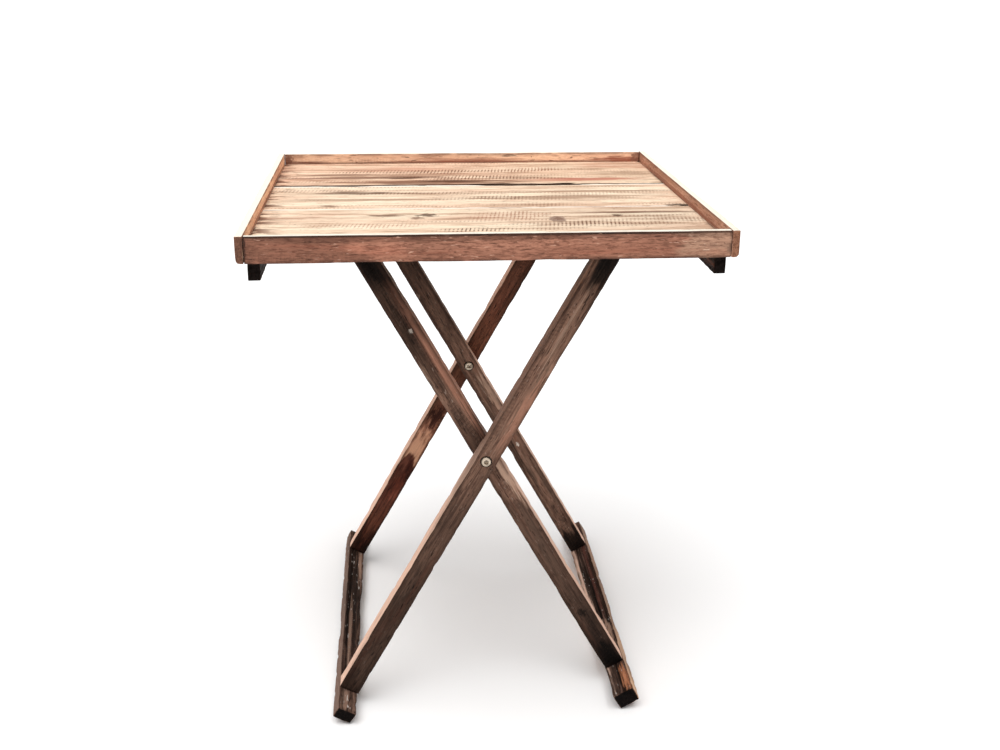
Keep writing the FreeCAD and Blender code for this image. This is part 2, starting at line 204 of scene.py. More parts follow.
def stations(low, high, radius, top_radius):
    """Rows along the grain: place, how far the section is pulled in, and its share of the full width."""
    part = END_ROUNDING_SHARE * radius
    rows = [(low, radius, 1.0), (low + part, part, 1.0), (low + radius, 0.0, 1.0)]
    body_start = low + END_EDGE
    body_end = high - (top_radius or END_EDGE)
    count = max(2, round((body_end - body_start) / STATION_STEP))
    for step in range(count + 1):
        rows.append((body_start + (body_end - body_start) * step / count, 0.0, 1.0))
    if top_radius:
        for step in range(1, TOP_STEPS + 1):
            turn = math.radians(TOP_LAST_TURN * step / TOP_STEPS)
            rows.append((body_end + top_radius * math.sin(turn), 0.0, math.cos(turn)))
    else:
        rows += [(high - radius, 0.0, 1.0), (high - part, part, 1.0), (high, radius, 1.0)]
    return rows


def ring(mesh, row, end_gap, section, centre, wear, seed, hollows, edge_layer):
    """One row of points round the timber, worn below the sawn size. The layer says how near an edge is."""
    x, pull, width_share = row
    verts = []
    for point, out, gap, corner in section:
        depth = pull + worn_depth(x, point, gap, corner, wear, seed, hollows)
        y = (point.x - out.x * depth) * width_share
        z = point.y - out.y * depth
        vert = mesh.verts.new((x, centre.y + y, centre.z + z))
        vert[edge_layer] = math.exp(-min(gap, end_gap) / EDGE_FADE)
        verts.append(vert)
    return verts


def bridge(mesh, first, second):
    """A band of faces between two rings."""
    count = len(first)
    for index in range(count):
        after = (index + 1) % count
        mesh.faces.new((first[index], first[after], second[after], second[index]))


def close_end(mesh, verts, outward, centre, seed):
    """Sawn end: shrinking rings with a little roughness, closed at the middle."""
    rim = verts
    for scale in CAP_SCALES:
        inner = []
        for vert in verts:
            y = centre.y + (vert.co.y - centre.y) * scale
            z = centre.z + (vert.co.z - centre.z) * scale
            rough = 0.5 + 0.5 * noise.noise(Vector((y * CAP_WAVES, z * CAP_WAVES, seed)))
            inner.append(mesh.verts.new((vert.co.x - outward * CAP_ROUGHNESS * rough, y, z)))
        if outward > 0:
            bridge(mesh, rim, inner)
        else:
            bridge(mesh, inner, rim)
        rim = inner
    tip = mesh.verts.new((rim[0].co.x, centre.y, centre.z))
    for index in range(len(rim)):
        pair = (rim[index], rim[(index + 1) % len(rim)])
        mesh.faces.new((*pair, tip) if outward > 0 else (pair[1], pair[0], tip))


def timber_mesh(low, high, wear, seed, hollows, rounded_top):
    """A sawn, worn timber that fills a box in its own frame."""
    centre = (low + high) / 2
    half_y = (high.y - low.y) / 2
    half_z = (high.z - low.z) / 2
    section = outline(half_y, half_z, wear["radius"])
    mesh = bmesh.new()
    edge_layer = mesh.verts.layers.float.new("edge")
    rings = []
    for row in stations(low.x, high.x, wear["radius"], half_y if rounded_top else 0.0):
        end_gap = max(0.0, min(row[0] - low.x, high.x - row[0]) - wear["radius"] / 2)
        rings.append(ring(mesh, row, end_gap, section, centre, wear, seed, hollows, edge_layer))
    for first, second in zip(rings, rings[1:]):
        bridge(mesh, first, second)
    close_end(mesh, rings[0], -1, centre, seed)
    close_end(mesh, rings[-1], 1, centre, seed + 1)
    bmesh.ops.recalc_face_normals(mesh, faces=mesh.faces)
    return mesh


def object_from(mesh, name):
    """A new object in the scene from a bmesh, which is freed."""
    data = bpy.data.meshes.new(name)
    mesh.to_mesh(data)
    mesh.free()
    made = bpy.data.objects.new(name, data)
    bpy.context.scene.collection.objects.link(made)
    return made


def local_box(node, place):
    """Lowest and highest corner of a CAD node in a piece's own frame."""
    inverse = place.inverted()
    points = [inverse @ vert.co for vert in frame["nodes"][node].data.vertices]
    low = Vector([min(point[axis] for point in points) for axis in range(3)])
    high = Vector([max(point[axis] for point in points) for axis in range(3)])
    return low, high


def reach_of(piece):
    """Lowest and highest X of a piece in its own frame."""
    along = [corner[0] for corner in piece.bound_box]
    return min(along), max(along)


def round_hole(start, radius, depth):
    """A temporary cutter for a round hole that runs backward, in the part's frame."""
    mesh = bmesh.new()
    bmesh.ops.create_cone(mesh, cap_ends=True, segments=HOLE_SIDES, radius1=radius, radius2=radius,
                          depth=depth)
    turn = Vector((0, 0, 1)).rotation_difference(BACKWARD).to_matrix().to_4x4()
    mesh.transform(Matrix.Translation(start + BACKWARD * depth / 2) @ turn)
    return object_from(mesh, "cutter")


def cut(piece, cutters):
    """Cut the holes; their walls take the bore material, whose dark tones are painted shade in the holes.
    """
    for cutter in cutters:
        cutter.data.materials.append(bore_shade)
        modifier = piece.modifiers.new("hole", "BOOLEAN")
        modifier.operation = "DIFFERENCE"
        modifier.solver = "EXACT"
        modifier.material_mode = "TRANSFER"
        modifier.object = cutter
    bpy.context.view_layer.update()
    whole = piece.evaluated_get(bpy.context.evaluated_depsgraph_get())
    result = bpy.data.meshes.new_from_object(whole)
    piece.modifiers.clear()
    old = piece.data
    piece.data = result
    bpy.data.meshes.remove(old)
    for cutter in cutters:
        data = cutter.data
        bpy.data.objects.remove(cutter)
        bpy.data.meshes.remove(data)


def timber(node, body, place, wear, look, cutters=(), rounded_top=False):
    """A sawn, worn timber in its own wood, which stands for one CAD node."""
    low, high = local_box(node, place)
    mesh = timber_mesh(low, high, wear, look["seed"], look["hollows"], rounded_top)
    piece = object_from(mesh, node + "_sawn")
    piece.matrix_world = place
    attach(piece, body)
    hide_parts(node)
    piece.data.materials.append(wood(node, look, reach_of(piece)))
    if cutters:
        cut(piece, cutters)
    piece.data.shade_smooth()
    piece.data.set_sharp_from_angle(angle=SHARP_ANGLE)


# ---- material builder ----
class Paint:
    """Writes one material's nodes in order."""

    def __init__(self, name):
        self.material = bpy.data.materials.new(name)
        self.material.use_nodes = True
        self.tree = self.material.node_tree
        self.tree.nodes.clear()

    def feed(self, socket, value):
        """Link a socket to another node, or set its colour or number."""
        if isinstance(value, bpy.types.NodeSocket):
            self.tree.links.new(value, socket)
        elif socket.type == "RGBA":
            socket.default_value = (*value, 1.0)
        else:
            socket.default_value = value

    def add(self, kind, settings=None, **inputs):
        """A new node. Its inputs are named as Blender names them, with _ for each space."""
        node = self.tree.nodes.new("ShaderNode" + kind)
        for key, value in (settings or {}).items():
            setattr(node, key, value)
        for key, value in inputs.items():
            self.feed(node.inputs[key.replace("_", " ")], value)
        return node

    def math(self, operation, *values):
        node = self.add("Math", {"operation": operation})
        for socket, value in zip(node.inputs, values):
            self.feed(socket, value)
        return node.outputs[0]

    def times(self, *values):
        result = values[0]
        for value in values[1:]:
            result = self.math("MULTIPLY", result, value)
        return result

    def mapped(self, position, **change):
        return self.add("Mapping", {"vector_type": "POINT"}, Vector=position, **change).outputs["Vector"]

    def shifted(self, position, seed, shift):
        """The position moved by the seed, so that no two pieces show the same pattern."""
        node = self.add("VectorMath", {"operation": "ADD"})
        self.feed(node.inputs[0], position)
        self.feed(node.inputs[1], [seed * part for part in shift])
        return node.outputs[0]

    def noise(self, position, along, across, detail=3.0, roughness=0.5, warp=0.0):
        """Stretched noise: its waves per metre along the grain and across it."""
        spot = self.mapped(position, Scale=(along, across, across))
        return self.add("TexNoise", None, Vector=spot, Scale=1.0, Detail=detail, Roughness=roughness,
                        Distortion=warp).outputs["Fac"]

    def ramp(self, value, low, high, bottom=0.0, top=1.0, kind="SMOOTHSTEP"):
        """From bottom, where the value is low, to top, where it is high."""
        node = self.add("MapRange", {"interpolation_type": kind}, Value=value, From_Min=low,
                        From_Max=high, To_Min=bottom, To_Max=top)
        return node.outputs["Result"]

    def mix(self, amount, first, second, blend="MIX"):
        node = self.add("Mix", {"data_type": "RGBA", "blend_type": blend})
        self.feed(node.inputs[MIX_AMOUNT], amount)
        self.feed(node.inputs[MIX_FIRST], first)
        self.feed(node.inputs[MIX_SECOND], second)
        return node.outputs[MIX_RESULT]

    def output(self, shader):
        """Connect the shader and give back the finished material."""
        end = self.add("OutputMaterial")
        self.tree.links.new(shader.outputs["BSDF"], end.inputs["Surface"])
        return self.material

    def finish(self, colour, roughness, height, bump, metallic, gloss):
        normal = self.add("Bump", None, Strength=1.0, Distance=bump, Height=height).outputs["Normal"]
        return self.output(self.add("BsdfPrincipled", None, Base_Color=colour, Roughness=roughness,
                                    Metallic=metallic, Specular_IOR_Level=gloss, Normal=normal))


class Wood(Paint):
    """Sawn, weathered wood in layers. The look gives each layer's tone and strength."""

    def __init__(self, name, look, reach, turn):
        super().__init__(name)
        self.look = look
        self.reach = reach
        self.colour = None
        source = self.add("TexCoord")
        true_place = source.outputs["Object"]
        facing = source.outputs["Normal"]
        if turn:
            true_place = self.mapped(true_place, Rotation=turn)
            facing = self.mapped(facing, Rotation=turn)
        self.place = self.shifted(true_place, look["seed"], WOOD_SHIFT)
        self.parts = self.add("SeparateXYZ", None, Vector=true_place)
        self.normal = self.add("SeparateXYZ", None, Vector=facing)

    def pattern(self, along, across, **more):
        """Noise in the timber's own frame."""
        return self.noise(self.place, along, across, **more)

    def cover(self, tone, *amounts):
        """Lay a tone over the colour so far, as much as the amounts multiplied."""
        self.colour = self.mix(self.times(*amounts), self.colour, tone)

    def faces(self, axis, side, turned):
        """1 on the faces that look to one side of an axis, or to both sides if the side is 0."""
        if side:
            toward = self.math("MULTIPLY", self.normal.outputs[axis], side)
        else:
            toward = self.math("ABSOLUTE", self.normal.outputs[axis])
        return self.ramp(toward, *turned)

    def grain(self):
        """Broad tone, growth figure, fibres and mottling."""
        look = self.look
        broad = self.pattern(along=5, across=38, detail=2, warp=0.3)
        figure = self.pattern(along=6, across=look["figure_rows"], detail=4, roughness=0.6, warp=0.8)
        fibres = self.pattern(along=30, across=900, detail=3, roughness=0.65)
        mottle = self.pattern(look["mottle_length"], look["mottle_rows"], detail=4, roughness=0.7)
        self.colour = self.mix(self.ramp(broad, 0.32, 0.68), look["pale"], look["mid"])
        self.cover(look["deep"], self.ramp(figure, 0.48, 0.64), look["figure"])
        self.cover(look["deep"], self.ramp(fibres, 0.45, 0.72), look["fibre"])
        self.cover(look["deep"], self.ramp(mottle, 0.46, 0.66), look["mottle"])
        return figure, fibres, mottle

    def weathering(self):
        """Grey weathering in feathered streaks, and a redder streak here and there."""
        look = self.look
        streaks = self.pattern(look["streak_length"], look["streak_rows"], detail=8, roughness=0.7,
                               warp=0.5)
        grey = self.ramp(streaks, 0.5, 0.6)
        self.cover(look["grey"], grey, look["grey_amount"])
        core = self.ramp(streaks, 0.59, 0.68)
        self.cover(look["dark"], core, look["core_amount"])
        redder = self.pattern(along=4.2, across=look["streak_rows"] * 0.6, detail=4, warp=0.3)
        self.cover(look["red"], self.ramp(redder, 0.56, 0.68), look["red_amount"])
        return grey, core

    def saw_marks(self):
        """Rows of slanting marks left by the saw."""
        look = self.look
        wander = self.math("MULTIPLY", self.pattern(along=25, across=40, detail=1), 3.0)
        slant = self.math("MULTIPLY", self.parts.outputs["Y"], look["saw_slant"])
        phase = self.math("MULTIPLY", self.math("ADD", self.parts.outputs["X"], slant),
                          2 * math.pi / look["saw_pitch"])
        teeth = self.ramp(self.math("SINE", self.math("ADD", phase, wander)), 0.0, 0.7)
        rows = self.ramp(self.pattern(along=3.0, across=look["saw_rows"], detail=2), 0.55, 0.6)
        broken = self.ramp(self.pattern(along=14, across=110, detail=3), 0.42, 0.54)
        saw = self.times(teeth, rows, broken)
        self.cover(look["saw_tone"], saw, look["saw"])
        return teeth, saw

    def dark_flecks(self):
        """Short dark flecks and pin spots."""
        flecks = self.ramp(self.pattern(along=70, across=650, detail=2), 0.62, 0.7)
        spots = self.ramp(self.pattern(along=150, across=260, detail=1), 0.72, 0.78)
        marks = self.math("MAXIMUM", self.times(flecks, self.look["fleck"]), self.times(spots, 0.7))
        self.cover(self.look["dark"], marks)
        return marks

    def stains(self):
        """Soft stains all over, and stronger ones towards the low end of the grain."""
        look = self.look
        soft = self.pattern(along=9, across=26, detail=4, roughness=0.6, warp=0.5)
        self.cover(look["dark"], self.ramp(soft, 0.55, 0.78), look["stain"])
        low_end = self.reach[0]
        ending = self.ramp(self.parts.outputs["X"], low_end, low_end + look["end_stain_length"], 1.0, 0.0)
        licks = self.ramp(self.pattern(along=26, across=90, detail=4, roughness=0.6), 0.5, 0.56)
        self.cover(look["end_stain_tone"], ending, licks, look["end_stain"])

    def spot_mask(self, spot):
        """1 inside an oval mark on a face, with a feathered border that suits its size."""
        middle = spot["at"]
        half = spot["size"]
        across_axis = self.parts.outputs[self.look["mark_axis"]]
        along = self.math("DIVIDE", self.math("SUBTRACT", self.parts.outputs["X"], middle[0]), half[0])
        across = self.math("DIVIDE", self.math("SUBTRACT", across_axis, middle[1]), half[1])
        squares = self.math("ADD", self.math("POWER", along, 2.0), self.math("POWER", across, 2.0))
        feather = self.pattern(along=FEATHER_ALONG / half[0], across=FEATHER_ACROSS / half[1])
        uneven = self.math("ADD", self.math("SQRT", squares),
                           self.ramp(feather, 0.3, 0.7, -spot["ragged"], spot["ragged"]))
        return self.ramp(uneven, 1.0 - spot["blur"], 1.0 + spot["blur"], 1.0, 0.0)

    def single_marks(self, fibres, mottle, teeth):
        """Knots, burns and long streaks, each where the look puts it."""
        look = self.look
        dents = 0.0
        for spot in look["marks"]:
            mask = self.spot_mask(spot)
            strength = spot["strength"]
            mask = self.times(mask, self.ramp(fibres, 0.25, 0.6, strength * 0.7, strength))
            if look["mark_side"]:
                mask = self.times(mask, self.faces("Y", look["mark_side"], HALF_TURNED))
            if spot["teeth"]:
                strokes = self.times(teeth, self.ramp(mottle, 0.4, 0.55, 0.2, 1.0))
                mask = self.times(mask, self.ramp(strokes, 0.0, 1.0, 1.0 - spot["teeth"], 1.0))
            self.cover(spot["tone"], mask)
            dents = self.math("MAXIMUM", mask, dents)
        return dents

    def pale_flecks_and_glints(self):
        """Small pale flecks, also over the marks: the wood's own on rails and legs, painted glints on the
        foot bars and battens.
        """
        look = self.look
        bright = self.ramp(self.pattern(*look["pale_fleck_rows"], detail=2), 0.66, 0.74)
        self.cover(look["pale_fleck_tone"], bright, look["pale_fleck"])

    def shade_along(self):
        """Tint the wood by its place along the grain, from 0 at the low end to 1 at the high end. Besides
        the wood's own tone, the stops paint shade on the legs' tops under the tray and light on the left
        rail.
        """
        stops = self.look["shade"]
        share = self.ramp(self.parts.outputs["X"], *self.reach, kind="LINEAR")
        wander = self.ramp(self.pattern(along=16, across=70), 0.3, 0.7, -SHADE_WANDER, SHADE_WANDER)
        ramp = self.add("ValToRGB", None, Fac=self.math("ADD", share, wander))
        elements = ramp.color_ramp.elements
        while len(elements) < len(stops):
            elements.new(0.5)
        for element, (position, tint) in zip(elements, stops):
            element.position = position
            element.color = (*tint, 1.0) if isinstance(tint, tuple) else (tint, tint, tint, 1.0)
        brighter = self.mix(1.0, ramp.outputs["Color"], (SHADE_GAIN,) * 3, "MULTIPLY")
        self.colour = self.mix(1.0, self.colour, brighter, "MULTIPLY")

    def outer_face(self):
        """Tint a rail's outer face, away from the marks' side, back down from the painted light of the
        inner tones.
        """
        tint = self.look["outside"]
        if tint:
            tinted = self.mix(1.0, self.colour, tint, "MULTIPLY")
            self.cover(tinted, self.faces("Y", -self.look["mark_side"], HALF_TURNED))

    def painted_gap_shade(self):
        """Painted shade on the side faces, which show only in the gaps between planks. Gives back where the
        dark edges go: on one side of the middle only, if the look names one.
        """
        look = self.look
        gap_shade_mask = self.times(self.faces("Y", 0, MOSTLY_TURNED), look["painted_gap_shade"])
        edge = self.add("Attribute", {"attribute_name": "edge"}).outputs["Fac"]
        if look["shaded_gap_side"]:
            side = self.math("MULTIPLY", self.parts.outputs["Y"], look["shaded_gap_side"])
            shaded_gap_half = self.ramp(side, -0.01, 0.01)
            gap_shade_mask = self.times(gap_shade_mask, shaded_gap_half)
            edge = self.times(edge, shaded_gap_half)
        self.cover(look["dark"], gap_shade_mask)
        return edge

    def painted_light_face(self):
        """Painted light on the faces turned to one side, patchy, and fading along the grain, as where the
        tray shades a leg's top.
        """
        look = self.look
        painted_light_mask = self.faces(look["painted_light_axis"], look["painted_light_side"], FULLY_TURNED)
        mottled = self.ramp(self.pattern(along=12, across=90), 0.3, 0.6, look["painted_light_evenness"], 1.0)
        low_end, high_end = self.reach
        fade = [low_end + share * (high_end - low_end) for share in look["painted_light_fade"]]
        reached = self.ramp(self.parts.outputs["X"], *fade, 1.0, look["painted_light_high_end"])
        self.cover(look["sun"], painted_light_mask, mottled, reached, look["painted_light_amount"])
        return painted_light_mask

    def dark_edges(self, edge, painted_light_mask):
        """Darker edges, patchy along their length and kept off the faces with painted light; along the
        planks' gaps they are painted shade.
        """
        look = self.look
        patchy_edge = self.ramp(self.pattern(along=35, across=90), 0.3, 0.55)
        shaded = self.math("SUBTRACT", 1.0, self.times(painted_light_mask, look["painted_light_amount"]))
        self.cover(look["edge_tone"], edge, patchy_edge, shaded, look["edge"])

    def end_grain(self):
        """Growth rings on the sawn ends."""
        rings = self.ramp(self.pattern(along=5, across=420, detail=2, warp=1.2), 0.4, 0.6)
        ringed = self.mix(rings, self.look["end"], self.look["end_dark"])
        self.cover(ringed, self.faces("X", 0, FULLY_TURNED))


def wood(name, look, reach, turn=None):
    """A wood material. The reach is the piece's low and high end along the grain."""
    paint = Wood(name, look, reach, turn)
    figure, fibres, mottle = paint.grain()
    grey, core = paint.weathering()
    teeth, saw = paint.saw_marks()
    flecks = paint.dark_flecks()
    paint.stains()
    dents = paint.single_marks(fibres, mottle, teeth)
    paint.pale_flecks_and_glints()
    paint.shade_along()
    paint.outer_face()
    edge = paint.painted_gap_shade()
    painted_light_mask = paint.painted_light_face()
    paint.dark_edges(edge, painted_light_mask)
    paint.end_grain()
    height = paint.math("ADD", paint.times(fibres, 0.45), paint.times(figure, 0.35))
    pores = paint.times(paint.ramp(mottle, 0.45, 0.65), look["mottle"])
    for hollow, depth in ((saw, 0.8), (flecks, 0.5), (pores, 0.6), (core, look["split"]), (dents, 0.4)):
        height = paint.math("SUBTRACT", height, paint.times(hollow, depth))
    roughness = paint.ramp(paint.math("ADD", fibres, grey), 0.3, 1.6, look["smooth"], WORN_ROUGHNESS)
    return paint.finish(paint.colour, roughness, height, look["bump"], 0.0, look["gloss"])


def metal(name, seed, tone, dull, roughness):
    """Plated steel with fine turning scratches, dull patches and dirt in the hollows."""
    paint = Paint(name)
    place = paint.shifted(paint.add("TexCoord").outputs["Object"], seed, METAL_SHIFT)
    patches = paint.ramp(paint.noise(place, along=260, across=260, detail=4), 0.42, 0.66)
    scratches = paint.noise(place, along=900, across=2600, detail=2)
    colour = paint.mix(patches, tone, dull)
    colour = paint.mix(paint.times(paint.ramp(scratches, 0.55, 0.75), 0.3), colour, dull)
    pits = paint.ramp(paint.noise(place, along=1500, across=1500, detail=1), 0.68, 0.76)
    colour = paint.mix(paint.times(pits, 0.6), colour, PIT_TONE)
    rough = paint.ramp(paint.math("ADD", patches, scratches), 0.4, 1.4, roughness, roughness + 0.25)
    height = paint.math("SUBTRACT", scratches, pits)
    return paint.finish(colour, rough, height, METAL_BUMP, METALNESS, METAL_GLOSS)


def mark(at, size, tone, strength, blur=0.4, teeth=0.0, ragged=0.5):
    """One stain, streak or knot: its middle and half size on the face, along and across the grain."""
    return {"at": at, "size": size, "tone": tone, "strength": strength, "blur": blur, "teeth": teeth,
            "ragged": ragged}


# ---- looks: tones and strengths, each kind of timber starting from another's ----
# Rows and lengths are noise waves per metre. A shade stop is a place from the low end, 0, to the high
# end, 1, and a tint: 1 / SHADE_GAIN leaves the wood's own tone as it is. Marks lie on the faces to
# mark_side of Y, or on all if it is 0. The painted shade on the gap sides and the dark edges keep to one
# side of the middle, as the look says, unless it is 0. The sun tone is painted light, and it goes from
# full to its high-end share between the two places of its fade.
EVEN = ((0.0, 1 / SHADE_GAIN), (1.0, 1 / SHADE_GAIN))
PLANK = {
    "pale": (0.93, 0.79, 0.6), "mid": (0.82, 0.6, 0.44), "deep": (0.48, 0.28, 0.18),
    "grey": (0.38, 0.215, 0.137), "red": (0.62, 0.32, 0.22), "dark": (0.1, 0.052, 0.033),
    "figure": 0.55, "figure_rows": 75, "fibre": 0.45, "mottle": 0.3, "mottle_length": 48,
    "mottle_rows": 240, "streak_length": 6.0, "streak_rows": 40, "grey_amount": 0.6, "core_amount": 0.35,
    "red_amount": 0.3, "saw": 0.35, "saw_tone": (0.28, 0.15, 0.1), "saw_pitch": 0.0044,
    "saw_slant": -0.13, "saw_rows": 50, "fleck": 0.5, "pale_fleck": 0.0, "pale_fleck_rows": (140, 520),
    "pale_fleck_tone": (0.9, 0.8, 0.65), "stain": 0.1, "end_stain": 0.95, "end_stain_length": 0.035,
    "end_stain_tone": (0.17, 0.085, 0.055), "hollows": (), "marks": (), "mark_axis": "Y",
    "mark_side": 0, "outside": None, "shade": EVEN, "painted_gap_shade": 0.9, "shaded_gap_side": 0, "painted_light_axis": "Z",
    "painted_light_side": 1, "sun": (0.8, 0.63, 0.45), "painted_light_amount": 0.0, "painted_light_evenness": 0.65, "painted_light_fade": (0.0, 1.0),
    "painted_light_high_end": 1.0, "edge": 0.85, "edge_tone": (0.06, 0.033, 0.022), "end": (0.5, 0.3, 0.18),
    "end_dark": (0.26, 0.15, 0.09), "bump": 0.0006, "split": 0.3, "smooth": 0.68, "gloss": 0.03,
}
# Rails: the sun tone on the top face is painted light.
RAIL = dict(
    PLANK, pale=(0.45, 0.205, 0.132), mid=(0.36, 0.155, 0.098), deep=(0.185, 0.072, 0.045),
    grey=(0.21, 0.1, 0.066), red=(0.36, 0.115, 0.068), dark=(0.085, 0.034, 0.022), figure=0.15,
    figure_rows=150, mottle=0.95, mottle_length=130, mottle_rows=620, streak_length=24, streak_rows=190,
    grey_amount=0.35, core_amount=0.3, saw=0.16, saw_tone=(0.2, 0.09, 0.06), saw_pitch=0.0042,
    saw_slant=0.05, saw_rows=30, fleck=0.7, pale_fleck=0.7,
    pale_fleck_tone=(0.66, 0.38, 0.27), pale_fleck_rows=(110, 620), stain=0.2, end_stain=0.0,
    painted_gap_shade=0.0, mark_axis="Z", mark_side=-1, sun=(0.9, 0.84, 0.72), painted_light_amount=0.97, painted_light_evenness=0.9,
    edge=0.9, edge_tone=(0.07, 0.03, 0.02), end=(0.42, 0.2, 0.12), end_dark=(0.24, 0.1, 0.06),
    bump=0.0004, gloss=0.15,
)
# Legs: the sun tone on the side faces turned up is painted light.
LEG = dict(
    PLANK, pale=(0.23, 0.126, 0.086), mid=(0.165, 0.09, 0.062), deep=(0.052, 0.025, 0.017),
    grey=(0.125, 0.08, 0.058), red=(0.2, 0.075, 0.046), dark=(0.018, 0.009, 0.006), figure=0.6,
    figure_rows=150, fibre=0.6, mottle=0.5, mottle_rows=260, streak_length=8, streak_rows=120,
    grey_amount=0.5, core_amount=0.5, red_amount=0.45, saw=0.2, saw_tone=(0.05, 0.028, 0.02),
    saw_pitch=0.005, saw_slant=0.3, saw_rows=45, fleck=0.8, pale_fleck=0.5,
    pale_fleck_tone=(0.36, 0.26, 0.21), stain=0.55, end_stain=0.5, end_stain_length=0.1,
    end_stain_tone=(0.018, 0.009, 0.006), painted_gap_shade=0.0, painted_light_axis="Y", sun=(0.88, 0.57, 0.43),
    painted_light_amount=0.88, painted_light_evenness=0.7, painted_light_high_end=0.15, edge=0.6, edge_tone=(0.03, 0.015, 0.01),
    end=(0.2, 0.11, 0.07), end_dark=(0.09, 0.045, 0.03), bump=0.0008, gloss=0.08,
)
# Foot bars: the pale flecks are painted glints, and the sun tone on the side face turned up is painted
# light.
FOOT = dict(
    LEG, pale=(0.3, 0.18, 0.13), mid=(0.125, 0.068, 0.05), deep=(0.01, 0.006, 0.005),
    grey=(0.012, 0.007, 0.005), dark=(0.005, 0.003, 0.002), figure=0.8, figure_rows=130, fibre=0.8,
    mottle=0.35, mottle_rows=320, streak_length=2.2, streak_rows=120, grey_amount=0.95, core_amount=0.9,
    pale_fleck=0.6, pale_fleck_tone=(0.75, 0.68, 0.62), pale_fleck_rows=(80, 330),
    sun=(0.26, 0.165, 0.125), painted_light_amount=0.75, painted_light_high_end=0.8, stain=0.6, fleck=0.9,
    end_stain=0.0, end=(0.008, 0.005, 0.004), end_dark=(0.003, 0.002, 0.002), bump=0.0016, split=1.2,
    smooth=0.6, gloss=0.04,
)
# Battens: near-black tones are painted shade under the tray, with a trace of painted glints.
BATTEN = dict(
    FOOT, pale=(0.02, 0.012, 0.009), mid=(0.012, 0.007, 0.005), deep=(0.005, 0.003, 0.002),
    grey=(0.018, 0.012, 0.01), pale_fleck=0.04, painted_light_amount=0.0, end=(0.01, 0.006, 0.005),
    end_dark=(0.005, 0.003, 0.002), bump=0.0008, gloss=0.05,
)
# The holes' walls: dark tones that are painted shade inside the holes.
BORE_SHADE = dict(
    LEG, seed=49.0, pale=(0.03, 0.017, 0.012), mid=(0.02, 0.011, 0.008), end=(0.03, 0.017, 0.012),
    end_dark=(0.012, 0.007, 0.005), grey=(0.02, 0.012, 0.009), painted_light_amount=0.0,
)


# ---- placing ----
def along_x(node):
    """Place of a level piece whose grain runs along X."""
    low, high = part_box(node)
    return Matrix.Translation((low + high) / 2)


def along_y(node):
    """Place of a level piece whose grain runs along Y."""
    return along_x(node) @ Matrix.Rotation(math.pi / 2, 4, "Z")


def frame_of(node):
    """The leaning frame that a leg or foot bar belongs to."""
    return "inner_frame" if node.startswith("inner") else "outer_frame"


def on_frame(body, turn):
    """Place of a piece of a leaning frame, from its pivot."""
    return Matrix.Translation((0, 0, pivot.z)) @ Matrix.Rotation(LEAN[body] * TILT, 4, "Y") @ turn


UPRIGHT = Matrix(((0, -1, 0, 0), (0, 0, -1, 0), (1, 0, 0, 0), (0, 0, 0, 1)))
CROSSWISE = Matrix.Rotation(math.pi / 2, 4, "Z")

